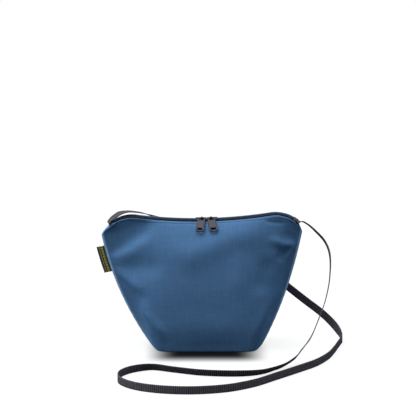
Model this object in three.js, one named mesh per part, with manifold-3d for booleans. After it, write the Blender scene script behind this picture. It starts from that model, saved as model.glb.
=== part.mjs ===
// A small zipped shoulder bag: two bulged cloth panels on a boxed base, a two-slider coil zip
// that sags between the shoulders, and one long flat webbing strap sewn in at the zip's ends.
// X runs to the right, Y to the back and Z up. The origin is the middle of the base's underside.
import * as THREE from 'three';
import { mergeVertices } from 'three/addons/utils/BufferGeometryUtils.js';
import Module from 'manifold-3d';

const wasm = await Module();
wasm.setup();

// Sizes in millimetres, angles in degrees
const clearance = 0.3;              // between pieces that touch
const baseHalfWidth = 73.5;           // base, measured at the side seams
const baseHalfDepth = 50;
const seamHalfWidth = 132.2;        // widest place, just under the shoulders
const seamTopHalfWidth = 123.2;
const widestShare = 0.925;          // where the widest place lies, of the height
const lean = 6.5;                     // the soft body slumps to its right hand side, our left
const bulge = 5;                    // how far the panels swell past a straight taper
const crownHalfDepth = 7;
const panelWall = 1.4;              // padded outer cloth
const liningWall = 0.6;
const boardThickness = 1.5;
const boardMargin = 3;

const zipHeight = 164.2;            // the chain's middle above the table
const zipShift = -4.4;
const zipRoll = 1.0;                // the right shoulder stands a little higher
const zipTilt = 17;                 // the chain's plane faces forward by this
const sagRadius = 640;              // the chain sags between the shoulders in one arc
const sagHalfLength = 88;
const shoulderRadius = 42.2;
const shoulderDrop = 43.7;          // slope of the chain at its ends
const lipHalfGap = 5;               // from the chain's middle to a panel's folded edge
const shelfWidth = 1.5;             // flat part of the folded edge

const tapeThickness = 0.7;
const tapeUnderLip = 0.4;
const coilHalfSlot = 1.1;           // each coil's inner side from the chain's middle
const coilWidth = 2.3;
const coilHeight = 1.6;
const chainEndMargin = 9;          // the coils stop this far from the side seam
const tapeEndMargin = 9.5;          // and the tapes this far
const tapeTaper = 16;               // the tapes narrow to clear the folded edges over this length
const threadInset = 0.4;            // the stitches run this far from the folded edge
const threadWidth = 0.8;
const threadThickness = 0.4;

const sliderLength = 14;
const sliderPlate = 1;              // thickness of its upper and lower plates
const sliderFlange = 0.9;
const sliderPost = 1.4;             // width of the post that joins the plates
const sliderChamfer = 0.7;
const sliderSpacing = 14.7;         // between the two sliders' middles, zip closed
const sliderMeeting = 4;            // where they meet, from the chain's middle
const pinForward = 2.8;             // the pull's crossbar, in front of the chain's middle
const pinRise = 1.6;                // and over the slider's upper plate
const bailShift = 1.3;              // towards where the sliders meet
const bailHole = 1.4;               // radius
const bailWall = 0.7;
const bailWidth = 2.4;

const pullLength = 25;              // from its crossbar to its tip
const pullTopWidth = 9.5;
const pullTipWidth = 11.5;
const pullThickness = 1.5;
const pullCrossbar = 1.2;
const pullWindowWidth = 6.4;
const pullWindowLength = 3.6;
const pullHoleWidth = 7;
const pullHoleLength = 4;
const pullTipBar = 2.4;             // what is left under the hole
const pullDrop = 37;                // the hanging pull's slope below the horizontal
const pullSplay = 8;                // each pull is turned this far to its own side

const strapWidth = 10;
const strapThickness = 1.2;
const sewnEndLength = 6.5;
const sewnEndInset = 1;             // from the side seam
const tackLength = 8;
const tackWidth = 1.4;
const labelHeight = 34;
const labelReach = 9;
const labelThickness = 0.9;
const labelTopShare = 0.836;        // of the side seam's height
const labelDroop = 11;

const mergeTolerance = 1e-4;
const radians = THREE.MathUtils.degToRad;
const blend = THREE.MathUtils.lerp;
const ramp = THREE.MathUtils.smoothstep;
const vector = (x, y, z) => new THREE.Vector3(x, y, z);
const forward = vector(0, 1, 0);

// The chain's path

const sagAngle = sagHalfLength / sagRadius;
const shoulderTurn = sagAngle + radians(shoulderDrop);
const chainHalfLength = sagHalfLength + shoulderRadius * shoulderTurn;
const zipMiddle = vector(zipShift, 0, zipHeight);

// The chain's frame at a distance from its middle: the spot, the way along, across and out of it
function zipFrame(distance) {
  const side = distance < 0 ? -1 : 1;
  const run = Math.abs(distance);
  let slope = run / sagRadius;
  let x = sagRadius * Math.sin(slope);
  let z = sagRadius * (1 - Math.cos(slope));
  if (run > sagHalfLength) {
    slope = sagAngle - (run - sagHalfLength) / shoulderRadius;
    x = sagRadius * Math.sin(sagAngle) + shoulderRadius * (Math.sin(sagAngle) - Math.sin(slope));
    z = sagRadius * (1 - Math.cos(sagAngle)) + shoulderRadius * (Math.cos(slope) - Math.cos(sagAngle));
  }
  const roll = radians(zipRoll);
  const rolled = new THREE.Vector2(side * x, z).rotateAround(new THREE.Vector2(), roll);
  const angle = side * slope + roll;
  const up = vector(-Math.sin(angle), 0, Math.cos(angle));
  const tilt = radians(zipTilt);
  return {
    spot: vector(rolled.x, 0, rolled.y).add(zipMiddle),
    along: vector(Math.cos(angle), 0, Math.sin(angle)),
    across: forward.clone().multiplyScalar(Math.cos(tilt)).addScaledVector(up, Math.sin(tilt)),
    out: up.clone().multiplyScalar(Math.cos(tilt)).addScaledVector(forward, -Math.sin(tilt)),
  };
}

function zipPoint(distance, across, height) {
  const frame = zipFrame(distance);
  return frame.spot.addScaledVector(frame.across, across).addScaledVector(frame.out, height);
}

const lipHeight = clearance + panelWall;    // the folded edge's upper face over the tape

// The bag's outer surface

const levelShares = [0, 0.05, 0.12, 0.2, 0.3, 0.4, 0.5, 0.6, 0.7, 0.8, 0.87, 0.92, 0.955, 0.98, 1];
const shelfShare = 0.98;            // the folded edge starts at this share of the height
const shelfBlendShares = [0.9, 0.978];
const sectionSamples = 48;
const cornerShares = { base: 0.87, top: 0.55, weight: 5 };
const taperShares = { bend: 0.6, bendFade: 0.13, crown: 1.7, crownRound: 0.7 };

function halfWidth(level) {
  const run = Math.min(level / widestShare, 1);
  const bend = taperShares.bend - taperShares.bendFade * run;
  const width = blend(baseHalfWidth, seamHalfWidth, run * (1 + bend * (1 - run)));
  const over = Math.max(0, (level - widestShare) / (1 - widestShare));
  return width - (seamHalfWidth - seamTopHalfWidth) * over * over;
}

function halfDepth(level) {
  const crown = Math.pow(1 - Math.pow(level, taperShares.crown), taperShares.crownRound);
  return blend(crownHalfDepth, baseHalfDepth, crown) + bulge * Math.sin(Math.PI * level);
}

function middleShift(level) {
  const over = Math.max(0, (level - widestShare) / (1 - widestShare));
  return -lean * (1 - (1 - level) * (1 - level)) + (lean + zipShift) * over * over;
}

// Half of a level's section, from the front's middle round the corner to the side seam,
// with the share of its length at each point
function halfSection(level) {
  const width = halfWidth(level);
  const depth = halfDepth(level);
  const corner = blend(cornerShares.base, cornerShares.top, level);
  const weight = 1 + cornerShares.weight * Math.pow(1 - level, 3);
  const points = [];
  for (let i = 0; i <= sectionSamples; i++) {
    const t = i / sectionSamples;
    const [first, middle, last] = [(1 - t) * (1 - t), 2 * weight * t * (1 - t), t * t];
    const sum = first + middle + last;
    points.push(new THREE.Vector2(width * (middle * corner + last), depth * (first + middle)).divideScalar(sum));
  }
  const runs = [0];
  for (let i = 1; i < points.length; i++) runs.push(runs[i - 1] + points[i].distanceTo(points[i - 1]));
  return { points, shares: runs.map((run) => run / runs[runs.length - 1]) };
}

const sections = new Map();

function sectionPoint(share, level) {
  if (!sections.has(level)) sections.set(level, halfSection(level));
  const { points, shares } = sections.get(level);
  const reach = Math.min(Math.abs(share), 1);
  let i = 1;
  while (i < shares.length - 1 && shares[i] < reach) i++;
  const t = (reach - shares[i - 1]) / (shares[i] - shares[i - 1]);
  const point = points[i - 1].clone().lerp(points[i], t);
  return vector(Math.sign(share) * point.x, point.y, 0);
}

// A point of the outer surface: side is -1 in front and 1 behind, share runs from the left seam
// at -1 to the right seam at 1, and level from the base at 0 to the folded edge at 1
function bodyPoint(side, share, level) {
  const distance = share * chainHalfLength;
  const section = sectionPoint(share, level);
  const below = vector(middleShift(level) + section.x, side * section.y, level * zipFrame(distance).spot.z);
  const shelf = (1 - level) / (1 - shelfShare);
  const edge = zipPoint(distance, side * (lipHalfGap + shelfWidth * shelf), lipHeight);
  const atSeam = Math.abs(share) === 1 && level < 1;
  const point = below.lerp(edge, atSeam ? 0 : ramp(level, ...shelfBlendShares));
  point.y = side * (atSeam ? clearance / 2 : Math.max(side * point.y, clearance / 2));
  return point;
}

const slopeStepShare = 0.004;       // of the surface, over which a slope is measured

function bodyNormal(side, share, level) {
  if (level === 1) return zipFrame(share * chainHalfLength).out;
  const low = Math.max(level - slopeStepShare, 0);
  const high = Math.min(level + slopeStepShare, 1 - slopeStepShare);
  const inside = Math.max(-1 + slopeStepShare, Math.min(1 - slopeStepShare, share));
  const rise = bodyPoint(side, inside, high).sub(bodyPoint(side, inside, low));
  const right = Math.min(inside + slopeStepShare, 1 - slopeStepShare);
  const left = Math.max(inside - slopeStepShare, slopeStepShare - 1);
  const run = bodyPoint(side, right, level).sub(bodyPoint(side, left, level));
  const normal = run.cross(rise).multiplyScalar(-side);
  if (Math.abs(share) === 1) normal.crossVectors(forward, rise).multiplyScalar(share);
  if (level === 0) normal.z = 0;
  return normal.normalize();
}

// Closed bodies from rings and grids of points

function closedMesh(name, positions, faces, material) {
  const geometry = new THREE.BufferGeometry();
  geometry.setAttribute('position', new THREE.Float32BufferAttribute(positions.flatMap((p) => p.toArray()), 3));
  geometry.setIndex(faces.flat());
  geometry.computeVertexNormals();
  const mesh = new THREE.Mesh(geometry, material);
  mesh.name = name;
  return mesh;
}

// A sheet of cloth: an outer and an inner grid of points, joined round the rim
function sheetMesh(name, outer, inner, flip, material) {
  const rows = outer.length;
  const columns = outer[0].length;
  const at = (layer, row, column) => (layer * rows + row) * columns + column;
  const faces = [];
  const quad = (a, b, c, d) => faces.push(...(flip ? [[a, c, b], [a, d, c]] : [[a, b, c], [a, c, d]]));
  for (let r = 0; r + 1 < rows; r++) {
    for (let c = 0; c + 1 < columns; c++) {
      const outside = [at(0, r, c), at(0, r, c + 1), at(0, r + 1, c + 1), at(0, r + 1, c)];
      const inside = [at(1, r, c), at(1, r + 1, c), at(1, r + 1, c + 1), at(1, r, c + 1)];
      const turn = 2 * c < columns - 1 ? 0 : 1;         // the diagonals mirror about the middle
      for (const corners of [outside, inside]) quad(...corners.slice(turn), ...corners.slice(0, turn));
    }
    quad(at(0, r, 0), at(0, r + 1, 0), at(1, r + 1, 0), at(1, r, 0));
    quad(at(1, r, columns - 1), at(1, r + 1, columns - 1), at(0, r + 1, columns - 1), at(0, r, columns - 1));
  }
  for (let c = 0; c + 1 < columns; c++) {
    quad(at(1, 0, c), at(1, 0, c + 1), at(0, 0, c + 1), at(0, 0, c));
    quad(at(0, rows - 1, c), at(0, rows - 1, c + 1), at(1, rows - 1, c + 1), at(1, rows - 1, c));
  }
  return closedMesh(name, [...outer, ...inner].flat(), faces, material);
}

// A bar through rings of equally many points, closed by a fan at each end
function barMesh(name, rings, material) {
  const size = rings[0].length;
  const faces = [];
  for (let r = 0; r + 1 < rings.length; r++) {
    for (let i = 0; i < size; i++) {
      const next = (i + 1) % size;
      const [a, b, c, d] = [r * size + i, r * size + next, (r + 1) * size + next, (r + 1) * size + i];
      faces.push([a, b, c], [a, c, d]);
    }
  }
  const last = (rings.length - 1) * size;
  for (let i = 1; i + 1 < size; i++) faces.push([0, i + 1, i], [last, last + i, last + i + 1]);
  return closedMesh(name, rings.flat(), faces, material);
}

function cloth(color) {
  return new THREE.MeshStandardMaterial({ color, roughness: 0.85, metalness: 0 });
}

const blueCloth = cloth(0x426e9b);
const blackWebbing = cloth(0x2a2930);
const tapeCloth = cloth(0x24262e);
const liningCloth = cloth(0x3a4048);
const greenCloth = cloth(0x1f3d3a);
const brownThread = cloth(0x4a3526);
const blueThread = cloth(0x2b4a70);
const coilPlastic = new THREE.MeshStandardMaterial({ color: 0x2e3138, roughness: 0.45, metalness: 0 });
const paintedMetal = new THREE.MeshStandardMaterial({ color: 0x3e3e46, roughness: 0.5, metalness: 0.4 });
const boardPlastic = new THREE.MeshStandardMaterial({ color: 0xc8c8c4, roughness: 0.7, metalness: 0 });

const bag = new THREE.Group();

// The cloth panels and the lining

const panelColumns = 34;
const liningLevelShares = [0.05, 0.2, 0.4, 0.6, 0.8, 0.87, 0.92];

// The columns run from first to panelColumns - first, every so many
function clothPanel(name, side, depth, wall, shares, first, every, material) {
  const layer = (inset) => shares.map((level) => {
    const row = [];
    for (let c = first; c <= panelColumns - first; c += every) {
      const share = 2 * c / panelColumns - 1;
      const point = bodyPoint(side, share, level).addScaledVector(bodyNormal(side, share, level), -inset);
      point.y = side * Math.max(side * point.y, clearance / 2);
      row.push(point);
    }
    return row;
  });
  bag.add(sheetMesh(name, layer(depth), layer(depth + wall), side > 0, material));
}

const liningDepth = panelWall + clearance;
for (const [side, end] of [[-1, 'front'], [1, 'back']]) {
  clothPanel(`${end}_panel`, side, 0, panelWall, levelShares, 0, 1, blueCloth);
  clothPanel(`lining_${end}`, side, liningDepth, liningWall, liningLevelShares, 1, 2, liningCloth);
}

// The boxed base: the cloth, the board on it and the lining over that

function baseSheet(name, inset, bottom, thickness, material) {
  const ring = [];
  for (const side of [-1, 1]) {
    for (let c = 0; c < panelColumns; c++) {
      const share = -side * (2 * c / panelColumns - 1);
      const point = bodyPoint(side, share, 0).addScaledVector(bodyNormal(side, share, 0), -inset);
      if (c === 0) point.y = 0;
      ring.push(point);
    }
  }
  const shape = new THREE.Shape(ring.map((p) => new THREE.Vector2(p.x, p.y)));
  const plate = new THREE.Mesh(new THREE.ExtrudeGeometry(shape, { depth: thickness, bevelEnabled: false }), material);
  plate.name = name;
  plate.position.z = bottom;
  bag.add(plate);
}

const boardBottom = panelWall + clearance;
const baseLiningBottom = boardBottom + boardThickness + clearance;
baseSheet('base_panel', panelWall + clearance, 0, panelWall, blueCloth);
baseSheet('base_board', panelWall + boardMargin, boardBottom, boardThickness, boardPlastic);
baseSheet('lining_base', panelWall + boardMargin, baseLiningBottom, liningWall, liningCloth);

// The zip: a tape and a coil on each side, and the line of stitches that holds the folded edge

const chainStep = 5.5;
const chainReach = chainHalfLength - chainEndMargin;
const coilOutlineShares = [[0, 0], [1, 0], [1, 0.6], [0.7, 1], [0.3, 1], [0, 0.6]];

// Rings along a stretch of the chain, each a profile of pairs across and out of the chain
function chainBar(name, profileAt, from, to, material) {
  const count = Math.max(2, Math.round((to - from) / chainStep));
  const rings = [];
  for (let i = 0; i <= count; i++) {
    const distance = blend(from, to, i / count);
    rings.push(profileAt(distance).map(([across, height]) => zipPoint(distance, across, height)));
  }
  bag.add(barMesh(name, rings, material));
}

for (const [side, end] of [[-1, 'front'], [1, 'back']]) {
  const turned = (profile) => (side > 0 ? profile : profile.map(([x, z]) => [-x, z]).reverse());
  const tapeReach = chainHalfLength - tapeEndMargin;
  const tapeAt = (distance) => {
    const narrowing = ramp(Math.abs(distance), tapeReach - tapeTaper, tapeReach - chainStep);
    const edge = lipHalfGap + blend(tapeUnderLip, -clearance, narrowing);
    return turned([[coilHalfSlot, -tapeThickness], [edge, -tapeThickness], [edge, 0], [coilHalfSlot, 0]]);
  };
  const coil = coilOutlineShares.map(([x, z]) => [coilHalfSlot + x * coilWidth, clearance + z * coilHeight]);
  chainBar(`zip_tape_${end}`, tapeAt, -tapeReach, tapeReach, tapeCloth);
  chainBar(`zip_coil_${end}`, () => turned(coil), -chainReach, chainReach, coilPlastic);
  const seam = lipHalfGap + threadInset;
  const threadBottom = lipHeight + clearance;
  const thread = [
    [seam, threadBottom], [seam + threadWidth, threadBottom],
    [seam + threadWidth, threadBottom + threadThickness], [seam, threadBottom + threadThickness],
  ];
  chainBar(`zip_stitch_${end}`, () => turned(thread), -chainReach, chainReach, blueThread);
}

// The sliders, each with its bail and pull

function solidOf(geometry, matrix = new THREE.Matrix4()) {
  const plain = geometry.clone().applyMatrix4(matrix);
  plain.deleteAttribute('normal');
  plain.deleteAttribute('uv');
  const merged = mergeVertices(plain, mergeTolerance);
  return new wasm.Manifold(new wasm.Mesh({
    numProp: 3,
    vertProperties: Float32Array.from(merged.attributes.position.array),
    triVerts: Uint32Array.from(merged.index.array),
  }));
}

function meshOf(name, solid, material) {
  const { vertProperties, triVerts } = solid.getMesh();
  const geometry = new THREE.BufferGeometry();
  geometry.setAttribute('position', new THREE.BufferAttribute(vertProperties, 3));
  geometry.setIndex(new THREE.BufferAttribute(triVerts, 1));
  geometry.computeVertexNormals();
  const mesh = new THREE.Mesh(geometry, material);
  mesh.name = name;
  return mesh;
}

// An outline drawn in the plane across the chain, drawn out along it, centred on the middle
function alongChain(shape, length) {
  const geometry = new THREE.ExtrudeGeometry(shape, { depth: length, bevelEnabled: false, curveSegments: 8 });
  geometry.translate(0, 0, -length / 2);
  return solidOf(geometry, new THREE.Matrix4().makeBasis(forward, vector(0, 0, 1), vector(1, 0, 0)));
}

const coilTop = clearance + coilHeight;
const plateBottom = coilTop + clearance;
const plateTop = plateBottom + sliderPlate;
const sliderHalfWidth = coilHalfSlot + coilWidth + clearance + sliderFlange;
const pinHeight = plateTop + pinRise;

function sliderSolid(bailMiddle) {
  const lower = -tapeThickness - clearance;
  const half = [
    [0, plateTop], [sliderHalfWidth - sliderChamfer, plateTop], [sliderHalfWidth, plateTop - sliderChamfer],
    [sliderHalfWidth, clearance], [sliderHalfWidth - sliderFlange, clearance],
    [sliderHalfWidth - sliderFlange, plateBottom], [sliderPost / 2, plateBottom], [sliderPost / 2, lower],
    [sliderHalfWidth, lower], [sliderHalfWidth - sliderChamfer, lower - sliderPlate], [0, lower - sliderPlate],
  ];
  const ring = [...half, ...half.slice(1, -1).reverse().map(([x, z]) => [-x, z])];
  const body = alongChain(new THREE.Shape(ring.map(([x, z]) => new THREE.Vector2(x, z))), sliderLength);

  const plan = new THREE.Shape();
  const [reach, corner] = [sliderLength / 2, sliderHalfWidth / 2];
  plan.moveTo(-reach, -corner);
  plan.quadraticCurveTo(-reach, -sliderHalfWidth, -reach + corner, -sliderHalfWidth);
  plan.lineTo(reach - corner, -sliderHalfWidth);
  plan.quadraticCurveTo(reach, -sliderHalfWidth, reach, -corner);
  plan.lineTo(reach, corner);
  plan.quadraticCurveTo(reach, sliderHalfWidth, reach - corner, sliderHalfWidth);
  plan.lineTo(-reach + corner, sliderHalfWidth);
  plan.quadraticCurveTo(-reach, sliderHalfWidth, -reach, corner);
  const depth = 2 * (plateTop - lower + sliderPlate);
  const cutter = new THREE.ExtrudeGeometry(plan, { depth, bevelEnabled: false, curveSegments: 4 });
  cutter.translate(0, 0, -depth / 2);

  const bail = new THREE.Shape();
  const radius = bailHole + bailWall;
  bail.moveTo(-pinForward + radius, plateTop - sliderPlate / 2);
  bail.lineTo(-pinForward + radius, pinHeight);
  bail.absarc(-pinForward, pinHeight, radius, 0, Math.PI, false);
  bail.lineTo(-pinForward - radius + sliderChamfer, plateTop - sliderPlate / 2);
  bail.holes.push(new THREE.Path().absarc(-pinForward, pinHeight, bailHole, 0, 2 * Math.PI, true));
  return body.intersect(solidOf(cutter)).add(alongChain(bail, bailWidth).translate([bailMiddle, 0, 0]));
}

// The pull hangs from its crossbar at the origin, down along -Z, its face towards -Y
function pullGeometry() {
  const half = pullTopWidth / 2;
  const tip = pullTipWidth / 2;
  const round = pullTipBar;
  const shape = new THREE.Shape();
  shape.moveTo(-half, pullCrossbar / 2);
  shape.lineTo(-tip, -pullLength + 2 * round);
  shape.quadraticCurveTo(-tip, -pullLength + round / 2, -tip + round, -pullLength + round / 4);
  shape.quadraticCurveTo(0, -pullLength - round / 4, tip - round, -pullLength + round / 4);
  shape.quadraticCurveTo(tip, -pullLength + round / 2, tip, -pullLength + 2 * round);
  shape.lineTo(half, pullCrossbar / 2);
  const rectangle = (width, top, length) => new THREE.Path([
    new THREE.Vector2(-width / 2, top), new THREE.Vector2(width / 2, top),
    new THREE.Vector2(width / 2, top - length), new THREE.Vector2(-width / 2, top - length),
  ]);
  shape.holes.push(rectangle(pullWindowWidth, -pullCrossbar / 2, pullWindowLength));
  shape.holes.push(rectangle(pullHoleWidth, -pullLength + pullTipBar + pullHoleLength, pullHoleLength));
  const plate = new THREE.ExtrudeGeometry(shape, { depth: pullThickness, bevelEnabled: false, curveSegments: 3 });
  plate.translate(0, 0, -pullThickness / 2);
  return plate.rotateX(Math.PI / 2);
}

for (const [side, end] of [[-1, 'left'], [1, 'right']]) {
  const frame = zipFrame(sliderMeeting + side * sliderSpacing / 2);
  const seat = new THREE.Group();
  seat.position.copy(frame.spot);
  seat.setRotationFromMatrix(new THREE.Matrix4().makeBasis(frame.along, frame.across, frame.out));
  seat.add(meshOf(`${end}_slider`, sliderSolid(-side * bailShift), paintedMetal));
  const hinge = new THREE.Group();
  hinge.position.set(-side * bailShift, -pinForward, pinHeight);
  hinge.rotation.z = side * radians(pullSplay);
  const pull = new THREE.Mesh(pullGeometry(), paintedMetal);
  pull.name = `${end}_pull`;
  pull.rotation.x = radians(pullDrop - zipTilt - 90);
  hinge.add(pull);
  seat.add(hinge);
  bag.add(seat);
}

// The strap's sewn ends lie across the zip's ends under a bar of stitches

for (const [side, end] of [[-1, 'left'], [1, 'right']]) {
  const block = (width, bottom, height) => () => [
    [-width / 2, bottom], [width / 2, bottom], [width / 2, bottom + height], [-width / 2, bottom + height],
  ];
  const stretch = (from, length) => [side * from, side * (from - length)].sort((a, b) => a - b);
  const seat = lipHeight + clearance;
  const edge = chainHalfLength - sewnEndInset;
  chainBar(`${end}_strap_end`, block(strapWidth, seat, strapThickness),
    ...stretch(edge, sewnEndLength), blackWebbing);
  chainBar(`${end}_bar_tack`, block(tackLength, seat + strapThickness + clearance, threadThickness),
    ...stretch(edge - (sewnEndLength - tackWidth) / 2, tackWidth), brownThread);
}

// The label is sewn into the left side seam

const labelSteps = 3;
const seamLength = zipFrame(-chainHalfLength).spot.z;
const labelRings = [];
for (let i = 0; i <= labelSteps; i++) {
  const level = labelTopShare - (labelHeight / seamLength) * (1 - i / labelSteps);
  const droop = radians(labelDroop);
  const outward = vector(-Math.cos(droop), 0, -Math.sin(droop));
  const inner = bodyPoint(-1, -1, level).setY(0).addScaledVector(outward, clearance);
  const outer = inner.clone().addScaledVector(outward, labelReach);
  const shift = (point, share) => point.clone().setY(share * labelThickness);
  labelRings.push([shift(inner, -0.5), shift(inner, 0.5), shift(outer, 0.5), shift(outer, -0.5)]);
}
bag.add(barMesh('side_label', labelRings, greenCloth));

// The strap, from the left end over the shoulder, down behind the bag, along the table in front
// and back up to the right end. Each point has the way that the webbing's width lies there.

const strapRoute = [
  [-128.6, -1.3, 161.4, 0.19, -0.96, -0.22],
  [-126, -0.5, 164.7, 0.3, -0.9, -0.28],
  [-121.6, 0.7, 168.3, 0.5, -0.78, -0.38],
  [-113.6, 3, 173.4, 0.5, -0.8, -0.35],
  [-104.5, 6, 175.2, 0.3, -0.95, -0.08],
  [-95.5, 9, 174.6, 0.28, -0.96, -0.05],
  [-84.5, 13, 172.4, 0.25, -0.96, 0],
  [-63.5, 19, 165.5, 0.28, -0.91, 0.28],
  [-37.5, 26, 156, 0.45, -0.6, 0.6],
  [-7.5, 33, 144, 0.55, -0.42, 0.72],
  [22.5, 37, 129, 0.58, -0.35, 0.74],
  [52.5, 40, 111, 0.6, -0.25, 0.76],
  [82.5, 41, 90, 0.62, -0.15, 0.77],
  [111, 41, 67, 0.64, -0.08, 0.77],
  [132.5, 41, 50, 0.62, -0.05, 0.78],
  [154.5, 41, 33, 0.58, 0, 0.8],
  [169.5, 39, 18.5, 0.45, 0, 0.9],
  [177.5, 30, 8.5, 0.15, 0, 1],
  [179, 12, 5.1, 0, 0, 1],
  [175.7, -4.6, 5.1, 0, 0, 1],
  [170.8, -26, 5.1, 0, 0, 1],
  [162.8, -60, 5.1, 0, 0, 1],
  [153, -94, 5.1, 0, 0, 1],
  [135.5, -132, 5.1, 0, 0, 1],
  [114.5, -162, 5.1, 0, 0, 1],
  [84.5, -202, 5.1, 0, 0, 1],
  [55.5, -239, 5.1, 0, 0, 1],
  [22.5, -264, 5.1, 0, 0, 1],
  [-17.5, -274, 5.1, 0, 0, 1],
  [-55.5, -268.5, 5.1, 0, 0, 1],
  [-85.5, -251, 5.1, 0, 0, 1],
  [-103.5, -223, 5.1, 0, 0, 1],
  [-104.5, -193, 5.1, 0, 0, 1],
  [-90.5, -167, 5.1, 0.1, -0.12, 0.98],
  [-67.5, -154.5, 5, 0, -0.42, 0.9],
  [-39.5, -167.8, 4.8, -0.18, -0.44, 0.87],
  [-5.5, -184, 4.9, -0.1, -0.45, 0.88],
  [37.5, -189, 4.9, 0.05, -0.47, 0.87],
  [64.5, -180.5, 4.5, 0.34, -0.51, 0.79],
  [84.5, -158, 4.2, 0.56, -0.41, 0.72],
  [98.5, -135, 4.4, 0.54, -0.46, 0.71],
  [112, -117, 9.5, 0.4, -0.55, 0.73],
  [120.8, -102, 17, 0.44, -0.62, 0.65],
  [132, -84, 27.5, 0.19, -0.68, 0.71],
  [142.5, -66, 46.5, 0.08, -0.78, 0.63],
  [151.8, -50, 67, 0.07, -0.84, 0.54],
  [158.5, -34, 94, 0.01, -0.9, 0.44],
  [159, -22, 124, 0.06, -0.89, 0.45],
  [153, -13, 139, -0.03, -0.88, 0.48],
  [140.5, -6, 152.2, -0.05, -0.91, 0.4],
  [133, -3, 158.6, -0.08, -0.94, 0.33],
  [125, -1, 163, -0.08, -0.97, 0.25],
  [120.2, -0.8, 162.8, 0.18, -0.96, -0.2],
];

const strapSteps = 80;

function strapMesh() {
  const points = strapRoute.map(([x, y, z]) => vector(x, y, z));
  const leans = strapRoute.map(([, , , x, y, z]) => vector(x, y, z).normalize());
  const curve = new THREE.CatmullRomCurve3(points, false, 'centripetal');
  const rings = [];
  for (let i = 0; i <= strapSteps; i++) {
    const place = curve.getUtoTmapping(i / strapSteps) * (points.length - 1);
    const from = Math.min(Math.floor(place), points.length - 2);
    const along = curve.getTangentAt(i / strapSteps);
    const width = leans[from].clone().lerp(leans[from + 1], place - from);
    width.addScaledVector(along, -width.dot(along)).normalize();
    const face = width.clone().cross(along);
    rings.push([[-0.5, -0.5], [-0.5, 0.5], [0.5, 0.5], [0.5, -0.5]].map(([w, f]) => curve
      .getPointAt(i / strapSteps)
      .addScaledVector(width, w * strapWidth)
      .addScaledVector(face, f * strapThickness)));
  }
  return barMesh('strap', rings, blackWebbing);
}

bag.add(strapMesh());

export default bag;
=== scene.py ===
import math

import bpy
import numpy as np
from mathutils import Matrix


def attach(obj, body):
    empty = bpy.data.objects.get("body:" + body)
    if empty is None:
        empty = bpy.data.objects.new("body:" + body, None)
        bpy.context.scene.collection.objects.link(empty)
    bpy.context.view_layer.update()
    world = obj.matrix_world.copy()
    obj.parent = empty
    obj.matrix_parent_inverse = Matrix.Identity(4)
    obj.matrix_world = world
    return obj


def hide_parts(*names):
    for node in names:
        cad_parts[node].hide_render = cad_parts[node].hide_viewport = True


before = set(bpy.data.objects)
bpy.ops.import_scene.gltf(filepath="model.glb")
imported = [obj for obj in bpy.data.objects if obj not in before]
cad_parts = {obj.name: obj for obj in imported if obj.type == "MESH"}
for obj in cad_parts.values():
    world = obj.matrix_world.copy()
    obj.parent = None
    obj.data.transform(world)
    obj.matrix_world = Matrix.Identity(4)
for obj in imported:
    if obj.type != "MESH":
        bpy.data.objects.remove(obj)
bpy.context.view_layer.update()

mm = 0.001
body = "bag_body"


# Camera, floor and light

view = {
    "place": (0.0016, -2.1666, 0.4720),
    "pitch": 7.657,             # degrees below the horizontal
    "lens": 145.21,
    "sensor": 36.0,
    "reach": 50.0,
}

light = {
    "sunPower": 4.5,
    "sunSpread": 70.0,          # degrees across: a wide softbox overhead
    "sunTilt": (3.0, -16.0),    # degrees towards the front and the left
    "fillSpread": 60.0,
    "fillTint": (0.72, 0.86, 1.0),
    "fills": [                  # power and tilt: one from each side, two lower ones from behind
        (1.1, (0.0, -74.0)), (0.8, (0.0, 78.0)), (0.9, (-38.0, -80.0)), (0.9, (-38.0, 80.0)),
    ],
    "worldStrength": 0.1,
    "worldTint": (0.55, 0.78, 1.0),
    "floorHalf": 6.0,
    "floorSeen": 0.12,          # its colour, and the light of its own that the camera sees
    "floorGlow": 0.86,
    "floorBounce": 0.12,
    "shadeMiddle": (-0.5, -42.0),                   # mm, the dark soft shadow painted on the floor before the base
    "shadeEdges": ((30.0, 84.0), (16.5, 75.0)),     # mm, where it starts to fade and where it ends
    "shadePower": 2.0,
    "shadeTint": (0.004, 0.004, 0.005),
}


class Wire:                     # a shader socket that takes part in arithmetic
    def __init__(self, paint, socket):
        self.paint = paint
        self.socket = socket

    def maths(self, operation, *values):
        return self.paint.node("Math", {"operation": operation}, list(values))

    def __add__(self, other):
        return self.maths("ADD", self, other)

    def __radd__(self, other):
        return self.maths("ADD", other, self)

    def __sub__(self, other):
        return self.maths("SUBTRACT", self, other)

    def __rsub__(self, other):
        return self.maths("SUBTRACT", other, self)

    def __mul__(self, other):
        return self.maths("MULTIPLY", self, other)

    def __truediv__(self, other):
        return self.maths("DIVIDE", self, other)

    def __pow__(self, other):
        return self.maths("POWER", self, other)

    def __abs__(self):
        return self.maths("ABSOLUTE", self)

    def wave(self):             # 0 to 1 and back in one unit
        return abs(self.maths("SINE", self * math.pi))

    def over(self, low, high):  # smooth step
        values = {"Value": self, "From Min": low, "From Max": high}
        return self.paint.node("MapRange", {"interpolation_type": "SMOOTHSTEP"}, values)


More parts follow.
